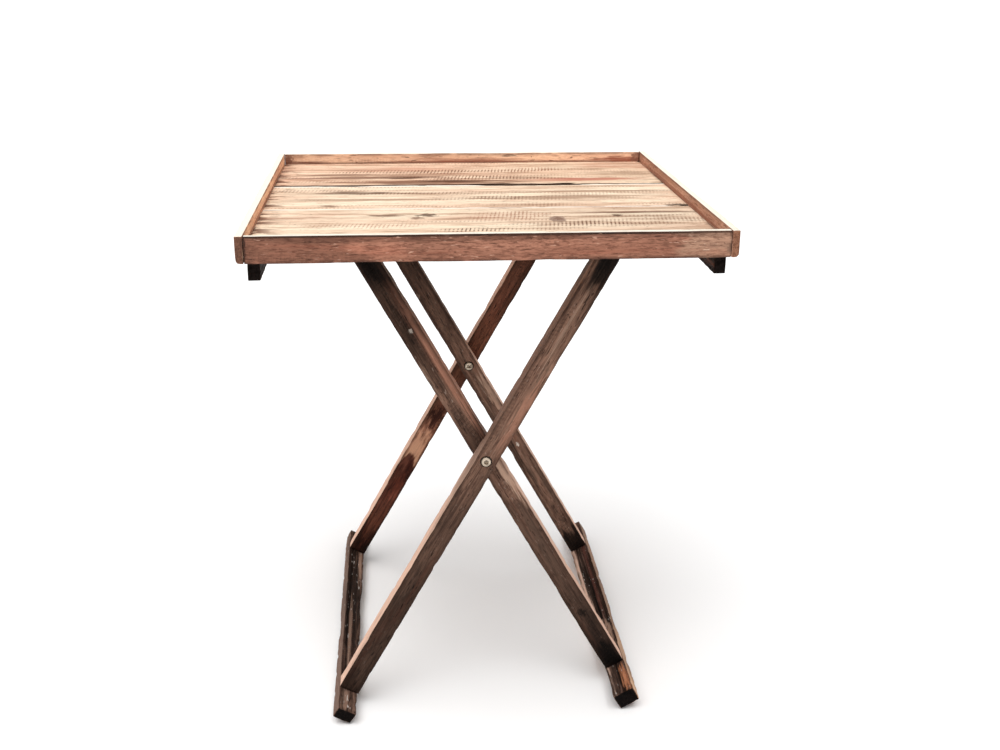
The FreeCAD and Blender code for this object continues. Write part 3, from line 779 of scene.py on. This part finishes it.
# ---- planks: marks are placed from each plank's middle ----
KNOT_TONE = (0.31, 0.205, 0.155)
# The seam tone is painted shade in the gaps between the boards.
SEAM_SHADE_TONE = (0.006, 0.003, 0.002)
DARK_STREAK = (0.08, 0.038, 0.022)
STREAK = (0.18, 0.088, 0.053)
SOFT_STREAK = (0.34, 0.2, 0.13)
PINK_STREAK = (0.38, 0.185, 0.12)
RED_STREAK = (0.48, 0.18, 0.125)
LIT_EDGE = (1.0, 0.94, 0.84)
planks = {
    "board_front": dict(
        PLANK, seed=3.1, hollows=({"corner": 1, "at": 0.234, "half_length": 0.012, "depth": 0.003},),
        red_amount=0.25, shaded_gap_side=-1, shade=((0.0, 0.61), (0.5, 0.59), (0.7, 0.565), (1.0, 0.56)),
        marks=(
            mark((0.0, 0.088), (0.5, 0.003), LIT_EDGE, 0.7),
            mark((0.033, 0.043), (0.038, 0.017), PINK_STREAK, 0.85, teeth=0.9),
            mark((0.108, -0.002), (0.07, 0.01), STREAK, 0.9, teeth=0.9),
            mark((0.06, -0.022), (0.045, 0.006), SOFT_STREAK, 0.9, teeth=0.7),
            mark((0.17, 0.056), (0.075, 0.005), STREAK, 0.9),
            mark((0.165, 0.036), (0.06, 0.006), SOFT_STREAK, 0.9, teeth=0.3),
            mark((0.205, 0.02), (0.042, 0.007), SOFT_STREAK, 0.8, teeth=0.4),
            mark((0.195, -0.003), (0.04, 0.006), SOFT_STREAK, 0.7, teeth=0.5),
            mark((-0.012, -0.024), (0.034, 0.008), DARK_STREAK, 1.0, teeth=1.0),
            mark((-0.12, 0.001), (0.06, 0.009), PINK_STREAK, 0.7, teeth=1.0),
            mark((-0.195, 0.043), (0.038, 0.005), PINK_STREAK, 0.7),
            mark((-0.1, 0.051), (0.022, 0.006), STREAK, 0.9),
            mark((-0.059, 0.051), (0.009, 0.008), DARK_STREAK, 0.9),
            mark((-0.07, 0.036), (0.007, 0.006), STREAK, 0.8),
            mark((0.15, 0.04), (0.005, 0.005), DARK_STREAK, 0.9),
            mark((0.082, 0.024), (0.0085, 0.015), KNOT_TONE, 1.0, blur=0.2, ragged=0.2),
            mark((0.083, 0.027), (0.004, 0.0075), STREAK, 0.6, ragged=0.3),
        ),
    ),
    "board_middle": dict(
        PLANK, seed=7.4, hollows=({"corner": 1, "at": 0.075, "half_length": 0.06, "depth": 0.0022},),
        red_amount=0.1, grey_amount=0.35, shaded_gap_side=1, edge=0.1,
        marks=(
            mark((0.0, 0.063), (0.5, 0.0028), LIT_EDGE, 0.9),
            mark((0.233, -0.065), (0.014, 0.003), SEAM_SHADE_TONE, 0.9),
            mark((-0.14, 0.0215), (0.042, 0.008), DARK_STREAK, 0.8),
            mark((-0.06, 0.017), (0.09, 0.008), STREAK, 0.75, teeth=0.7),
            mark((-0.115, -0.019), (0.12, 0.005), SOFT_STREAK, 0.8),
            mark((-0.168, -0.055), (0.01, 0.005), STREAK, 0.85),
            mark((0.125, 0.021), (0.095, 0.006), SOFT_STREAK, 0.9),
            mark((0.105, -0.016), (0.09, 0.012), SOFT_STREAK, 0.9),
            mark((0.035, -0.012), (0.028, 0.01), STREAK, 0.8, teeth=0.9),
            mark((0.068, -0.056), (0.048, 0.01), SOFT_STREAK, 0.75, teeth=0.6),
        ),
    ),
    "board_back": dict(
        PLANK, seed=11.9, hollows=({"corner": 2, "at": 0.085, "half_length": 0.075, "depth": 0.0028},
                                   {"corner": 2, "at": 0.205, "half_length": 0.038, "depth": 0.0022}),
        red_amount=0.5, shaded_gap_side=-1,
        shade=((0.0, (0.6, 0.53, 0.51)), (0.45, (0.59, 0.53, 0.51)), (0.75, (0.58, 0.55, 0.53)),
               (1.0, (0.58, 0.57, 0.55))),
        marks=(
            mark((-0.045, -0.06), (0.09, 0.017), STREAK, 0.85),
            mark((-0.05, 0.012), (0.095, 0.013), STREAK, 0.95, teeth=1.0),
            mark((0.025, -0.03), (0.085, 0.014), STREAK, 0.95, teeth=1.0),
            mark((0.085, 0.024), (0.06, 0.011), PINK_STREAK, 0.95, teeth=1.0),
            mark((-0.13, -0.027), (0.08, 0.009), STREAK, 0.85),
            mark((-0.085, -0.031), (0.026, 0.006), DARK_STREAK, 0.9),
            mark((-0.02, -0.054), (0.034, 0.007), DARK_STREAK, 0.9),
            mark((-0.165, -0.006), (0.048, 0.006), STREAK, 0.8),
            mark((-0.15, 0.03), (0.07, 0.005), SOFT_STREAK, 0.7),
            mark((0.145, -0.049), (0.062, 0.009), RED_STREAK, 0.9),
            mark((0.205, -0.009), (0.038, 0.012), SOFT_STREAK, 0.7),
            mark((0.0, -0.08), (0.6, 0.0036), SEAM_SHADE_TONE, 1.0, blur=0.2),
            mark((0.055, -0.0785), (0.06, 0.006), SEAM_SHADE_TONE, 1.0, blur=0.2),
            mark((0.11, -0.079), (0.03, 0.0055), SEAM_SHADE_TONE, 1.0, blur=0.2),
        ),
    ),
}
for node, look in planks.items():
    timber(node, "tray", along_x(node), PLANK_WEAR, look)

# ---- rim rails: all but the front one turn their inner face to the camera ----
# The inner faces' paler tones, and on the left rail shade stops above EVEN, are painted light; the outside
# tint takes it off the outer faces.
INSIDE_RAIL = dict(
    RAIL, pale=(0.9, 0.54, 0.35), mid=(0.78, 0.43, 0.27), deep=(0.44, 0.2, 0.12),
    grey=(0.46, 0.23, 0.15), saw_tone=(0.4, 0.19, 0.12), mottle=0.55, edge_tone=(0.22, 0.1, 0.065),
)
PALER_END = (0.75, 0.96, 1.0)
# Dark tones for lines and patches; low along the planks and inside the joints they are painted shade.
LINE_TONE = (0.02, 0.01, 0.007)
DARK_BROWN_TONE = (0.22, 0.1, 0.065)
DARK_RED_TONE = (0.3, 0.095, 0.055)
rails = {
    "rim_front": dict(
        RAIL, seed=21.3,
        shade=((0.0, 0.5), (0.22, 0.5), (0.245, 0.76), (0.285, 0.74), (0.32, 0.54), (0.5, 0.62),
               (0.88, 0.62), (0.92, PALER_END), (1.0, PALER_END)),
        marks=(
            mark((0.0, 0.013), (0.3, 0.0013), LINE_TONE, 1.0, blur=0.3),
            mark((0.0, 0.0095), (0.3, 0.003), LINE_TONE, 0.4),
            mark((0.24, -0.006), (0.003, 0.004), DARK_BROWN_TONE, 0.7),
            # Painted shade in the joint gap at the left end.
            mark((-0.241, 0.003), (0.0016, 0.014), LINE_TONE, 1.0, blur=0.3),
        ),
    ),
    "rim_back": dict(
        INSIDE_RAIL, seed=25.8, pale=(1.0, 0.7, 0.49), mid=(0.94, 0.61, 0.42), deep=(0.54, 0.27, 0.16),
        mottle=0.4, shade=((0.0, 0.59), (0.5, 0.63), (1.0, 0.74)), outside=(0.44, 0.3, 0.27),
        marks=(
            # The lines low along the planks are painted shade where the rail meets them.
            mark((0.0, 0.0018), (0.3, 0.0013), DARK_BROWN_TONE, 0.9),
            mark((0.0, 0.004), (0.07, 0.0025), DARK_RED_TONE, 0.7),
            mark((0.06, 0.0105), (0.012, 0.0015), LINE_TONE, 0.7),
            mark((-0.237, 0.007), (0.006, 0.008), DARK_BROWN_TONE, 1.0),
            mark((-0.215, 0.0022), (0.024, 0.002), DARK_BROWN_TONE, 0.9),
            mark((0.218, 0.004), (0.034, 0.0035), DARK_RED_TONE, 0.95),
            mark((0.236, 0.007), (0.006, 0.006), DARK_BROWN_TONE, 0.9),
        ),
    ),
    "rim_left": dict(
        INSIDE_RAIL, seed=29.2,
        hollows=({"corner": 0, "at": -0.252, "half_length": 0.006, "depth": 0.003},),
        pale=(1.0, 0.66, 0.42), mid=(0.98, 0.58, 0.36), deep=(0.62, 0.32, 0.2), mottle=0.4,
        shade=((0.0, 0.8), (1.0, 0.86)), end=(0.18, 0.082, 0.052), end_dark=(0.1, 0.045, 0.029),
        outside=(0.34, 0.25, 0.25),
        marks=(
            # Painted shade: a line low along the planks, and the faces inside the joint gaps at both ends.
            mark((0.0, 0.002), (0.27, 0.0016), DARK_RED_TONE, 0.8),
            mark((-0.2465, 0.0), (0.0045, 0.06), LINE_TONE, 1.0, blur=0.2),
            mark((0.2465, 0.0), (0.0045, 0.06), LINE_TONE, 1.0, blur=0.2),
        ),
    ),
    "rim_right": dict(
        INSIDE_RAIL, seed=33.6,
        hollows=({"corner": 3, "at": -0.252, "half_length": 0.005, "depth": 0.0025},),
        pale=(0.66, 0.38, 0.26), mid=(0.54, 0.28, 0.18), mottle=1.0, figure=0.5, end=(0.33, 0.15, 0.087),
        end_dark=(0.18, 0.075, 0.042), mark_side=1, outside=(0.66, 0.54, 0.5),
        marks=(
            # Painted shade: a line low along the planks, and the face inside the joint gap at its back end.
            mark((0.0, 0.0025), (0.27, 0.0022), DARK_RED_TONE, 0.7),
            mark((0.2465, 0.0), (0.0045, 0.06), LINE_TONE, 1.0, blur=0.2),
        ),
    ),
}
for node, look in rails.items():
    place = along_y if node in ("rim_left", "rim_right") else along_x
    timber(node, "tray", place(node), RAIL_WEAR, look)

# ---- battens under the planks ----
battens = {"batten_left": dict(BATTEN, seed=41.7), "batten_right": dict(BATTEN, seed=47.0)}
for node, look in battens.items():
    timber(node, "tray", along_y(node), BATTEN_WEAR, look)

# ---- crossed frames: each leg's tone and painted shade change from its foot, 0, to its top, 1 ----
WARM_TONE = (0.33, 0.155, 0.102)
PALE_TONE = (0.5, 0.33, 0.24)
SPECK_TONE = (0.85, 0.75, 0.65)
BLACK_TONE = (0.016, 0.009, 0.006)
BLOTCH_TONE = (0.03, 0.01, 0.007)
# The shade stops' dark tops are painted shade under the tray.
legs = {
    "inner_leg_front": dict(
        LEG, seed=51.2, painted_light_fade=(0.42, 0.58), painted_light_high_end=0.1,
        shade=((0.0, 0.015), (0.045, 0.03), (0.08, 0.12), (0.15, 0.27), (0.3, 0.4), (0.4, 0.42),
               (0.43, 0.72), (0.5, 0.72), (0.55, 0.28), (0.6, 0.38), (0.64, 0.72), (0.76, 0.62),
               (0.86, 0.2), (0.91, 0.03), (1.0, 0.015)),
        marks=(
            mark((0.15, 0.003), (0.055, 0.0065), BLACK_TONE, 0.65),
            mark((0.13, -0.0095), (0.14, 0.0045), WARM_TONE, 0.95),
            mark((-0.035, -0.0085), (0.032, 0.005), PALE_TONE, 0.8),
            mark((0.166, -0.001), (0.0025, 0.002), SPECK_TONE, 0.85, blur=0.3),
            mark((0.11, 0.01), (0.02, 0.002), PALE_TONE, 0.3),
            mark((-0.238, 0.001), (0.005, 0.0045), BLACK_TONE, 0.8, blur=0.4),
        ),
    ),
    "inner_leg_back": dict(
        LEG, seed=55.9, painted_light_fade=(0.5, 0.64), painted_light_high_end=0.1,
        shade=((0.0, 0.04), (0.035, 0.1), (0.06, 0.66), (0.15, 0.76), (0.3, 0.78), (0.45, 0.9),
               (0.54, 0.8), (0.6, 0.58), (0.7, 0.38), (0.8, 0.18), (1.0, 0.08)),
        marks=(
            mark((-0.15, 0.006), (0.06, 0.004), BLACK_TONE, 0.7),
            mark((-0.05, -0.007), (0.032, 0.005), PALE_TONE, 0.45),
            mark((-0.135, -0.002), (0.003, 0.0015), SPECK_TONE, 0.7),
            mark((0.12, 0.01), (0.004, 0.002), PALE_TONE, 0.9, blur=0.3),
        ),
    ),
    "outer_leg_front": dict(
        LEG, seed=60.4, painted_light_fade=(0.4, 0.62), painted_light_high_end=0.12,
        shade=((0.0, 0.09), (0.04, 0.17), (0.2, 0.18), (0.42, 0.33), (0.55, 0.6), (0.66, 0.86),
               (0.82, 0.7), (0.9, 0.55), (0.93, 0.36), (0.955, 0.06), (1.0, 0.015)),
        marks=(
            mark((0.055, -0.007), (0.045, 0.005), WARM_TONE, 0.5),
            mark((0.185, 0.0), (0.06, 0.0016), PALE_TONE, 0.35),
        ),
    ),
    "outer_leg_back": dict(
        LEG, seed=66.8, painted_light_fade=(0.4, 1.0), painted_light_high_end=0.7,
        shade=((0.0, (0.05, 0.028, 0.02)), (0.035, (0.2, 0.1, 0.08)), (0.07, (0.52, 0.31, 0.25)),
               (0.16, (0.46, 0.28, 0.25)), (0.21, (0.26, 0.14, 0.12)), (0.245, (0.18, 0.09, 0.08)),
               (0.255, (1.0, 0.84, 0.72)), (0.36, (1.0, 0.78, 0.68)), (0.42, (0.44, 0.3, 0.25)),
               (0.55, (0.52, 0.36, 0.3)), (0.66, (0.48, 0.32, 0.27)), (0.75, (0.32, 0.22, 0.19)),
               (0.82, (0.16, 0.11, 0.09)), (1.0, (0.08, 0.05, 0.04))),
        marks=(
            mark((-0.147, 0.002), (0.03, 0.01), PALE_TONE, 0.6),
            mark((-0.093, -0.003), (0.016, 0.009), BLOTCH_TONE, 0.95, blur=0.4),
            mark((-0.215, -0.003), (0.02, 0.006), WARM_TONE, 0.6),
        ),
    ),
}
# Painted shade for the holes' walls.
bore_shade = wood("bore_shade", BORE_SHADE, (0.0, 1.0))


def leg_cutters(node, body):
    """A bolt hole for every leg, and a rod hole, a counterbore and a nail hole where they belong."""
    low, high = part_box(node)
    through = high.y - low.y + 2 * HOLE_OVERSHOOT
    front = Vector((0, low.y - HOLE_OVERSHOOT, pivot.z))
    cutters = [round_hole(front, BOLT_HOLE_RADIUS, through)]
    if body == "inner_frame":
        cutters.append(round_hole(Vector((hinge.x, front.y, hinge.z)), ROD_HOLE_RADIUS, through))
    if node in COUNTERBORED_LEGS:
        cutters.append(round_hole(front, COUNTERBORE_RADIUS, COUNTERBORE_DEPTH + HOLE_OVERSHOOT))
    if node == NAIL_HOLE["leg"]:
        down = Vector((math.sin(TILT), 0, -math.cos(TILT)))
        cutters.append(round_hole(front + down * NAIL_HOLE["below_pivot"], NAIL_HOLE["radius"],
                                  NAIL_HOLE["depth"]))
    return cutters


for node, look in legs.items():
    body = frame_of(node)
    timber(node, body, on_frame(body, UPRIGHT), LEG_WEAR, dict(look, painted_light_side=LEAN[body]),
           leg_cutters(node, body), rounded_top=True)

# ---- foot bars ----
TAN_TONE = (0.44, 0.28, 0.205)
PEACH_TONE = (0.8, 0.54, 0.42)
ORANGE_TONE = (0.5, 0.2, 0.1)
RED_BLACK = (0.085, 0.03, 0.022)
bars = {
    "inner_foot_bar": dict(
        FOOT, seed=71.5, pale=(0.44, 0.26, 0.195), mid=(0.21, 0.115, 0.088), sun=(0.8, 0.5, 0.32),
        painted_light_amount=0.9, painted_light_evenness=0.4, painted_light_fade=(0.1, 0.5), painted_light_high_end=0.3,
        marks=(
            # Painted light: the pale strip along the left edge.
            mark((0.03, 0.0098), (0.19, 0.0056), PEACH_TONE, 1.0, blur=0.25),
            mark((0.06, 0.0015), (0.15, 0.0045), BLACK_TONE, 0.95),
            mark((0.08, -0.0065), (0.11, 0.0028), RED_BLACK, 0.9),
            mark((-0.02, -0.0095), (0.11, 0.0025), BLACK_TONE, 0.9),
            mark((-0.09, -0.002), (0.03, 0.007), TAN_TONE, 0.95),
            mark((-0.083, -0.002), (0.006, 0.003), RED_BLACK, 0.9, ragged=0.2),
            mark((-0.185, 0.0055), (0.04, 0.0075), BLACK_TONE, 0.9),
            mark((-0.192, -0.008), (0.03, 0.0042), ORANGE_TONE, 0.9),
        ),
    ),
    "outer_foot_bar": dict(
        # Stronger painted glints on this bar.
        FOOT, seed=75.3, pale_fleck=0.85, pale_fleck_rows=(65, 430),
        marks=(
            mark((0.08, 0.0045), (0.13, 0.0078), BLACK_TONE, 1.0),
            mark((0.12, -0.0065), (0.05, 0.0024), TAN_TONE, 0.7),
            mark((0.01, -0.0075), (0.08, 0.0045), BLACK_TONE, 0.9),
            mark((-0.07, 0.003), (0.08, 0.002), TAN_TONE, 0.6),
            mark((-0.06, -0.002), (0.07, 0.0018), BLACK_TONE, 0.9),
            mark((-0.205, 0.004), (0.02, 0.004), TAN_TONE, 0.4),
        ),
    ),
}
for node, look in bars.items():
    body = frame_of(node)
    timber(node, body, on_frame(body, CROSSWISE), FOOT_WEAR, dict(look, painted_light_side=LEAN[body]))


# ---- pieces kept as drawn ----
def repaint(node, material):
    """A new material for a CAD node that keeps its shape."""
    piece = frame["nodes"][node]
    piece.data.materials.clear()
    piece.data.materials.append(material)


GRAIN_ALONG_X = (0, 0, 0)
GRAIN_ALONG_Y = (0, 0, -math.pi / 2)
hidden_wood = {
    "hinge_cheek_front": ("batten_wood", dict(BATTEN, seed=81.1), GRAIN_ALONG_X),
    "hinge_cheek_back": ("batten_wood", dict(BATTEN, seed=85.8), GRAIN_ALONG_X),
    "stop_cleat": ("batten_wood", dict(BATTEN, seed=90.5), GRAIN_ALONG_Y),
    "outer_top_bar": ("leg_wood", dict(LEG, seed=95.2), GRAIN_ALONG_Y),
}
for node, (slot, look, turn) in hidden_wood.items():
    low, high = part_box(node)
    reach = (low.y, high.y) if turn == GRAIN_ALONG_Y else (low.x, high.x)
    repaint(node, wood(node, look, reach, turn))

metals = {
    "zinc_steel": metal("zinc_steel", 1.3, (0.56, 0.47, 0.37), (0.26, 0.21, 0.16), 0.36),
    "fixing_steel": metal("fixing_steel", 2.9, (0.34, 0.31, 0.28), (0.16, 0.12, 0.09), 0.45),
}
metal_nodes = {
    "zinc_steel": ("pivot_bolt_front", "pivot_bolt_back", "pivot_nuts", "pivot_washers", "pivot_spacers",
                   "hinge_rod", "hinge_rod_caps"),
    "fixing_steel": ("board_screws", "block_screws", "rim_nails", "inner_foot_screws", "outer_foot_screws"),
}
for slot, names in metal_nodes.items():
    for node in names:
        repaint(node, metals[slot])

# ---- floor, light and camera ----
floor_mesh = bmesh.new()
bmesh.ops.create_grid(floor_mesh, x_segments=1, y_segments=1, size=FLOOR_HALF_SIZE)
floor = object_from(floor_mesh, "floor")
floor_paint = Paint("floor")
floor_shader = floor_paint.add("BsdfPrincipled", None, Base_Color=FLOOR_TONE, Roughness=FLOOR_ROUGHNESS)
floor.data.materials.append(floor_paint.output(floor_shader))
floor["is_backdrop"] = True

world = bpy.data.worlds.new("studio")
world.use_nodes = True
surround = world.node_tree.nodes["Background"]
surround.inputs["Color"].default_value = SURROUND_TONE
surround.inputs["Strength"].default_value = SURROUND_STRENGTH
bpy.context.scene.world = world

for name, sun in SUNS.items():
    light = bpy.data.lights.new(name, "SUN")
    light.energy = sun["strength"]
    light.angle = math.radians(sun["spread"])
    lamp = bpy.data.objects.new(name, light)
    lamp.rotation_mode = "QUATERNION"
    lamp.rotation_quaternion = Vector(sun["direction"]).to_track_quat("-Z", "Y")
    bpy.context.scene.collection.objects.link(lamp)

view = bpy.context.scene.view_settings
view.view_transform = "Standard"
view.look = "None"

forward = Vector((math.sin(CAMERA_AZIMUTH) * math.cos(CAMERA_DROP),
                  math.cos(CAMERA_AZIMUTH) * math.cos(CAMERA_DROP),
                  -math.sin(CAMERA_DROP)))
level = Vector((math.cos(CAMERA_AZIMUTH), -math.sin(CAMERA_AZIMUTH), 0))
upward = level.cross(forward)
camera_x = level * math.cos(CAMERA_ROLL) + upward * math.sin(CAMERA_ROLL)
camera_y = upward * math.cos(CAMERA_ROLL) - level * math.sin(CAMERA_ROLL)
turned = Matrix((camera_x, camera_y, -forward)).transposed()
camera_data = bpy.data.cameras.new("camera")
camera_data.lens = CAMERA_LENS
camera_data.sensor_width = CAMERA_SENSOR
camera_data.clip_end = CAMERA_RANGE
camera = bpy.data.objects.new("camera", camera_data)
camera.matrix_world = Matrix.Translation(CAMERA_PLACE) @ turned.to_4x4()
bpy.context.scene.collection.objects.link(camera)
bpy.context.scene.camera = camera

low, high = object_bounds()
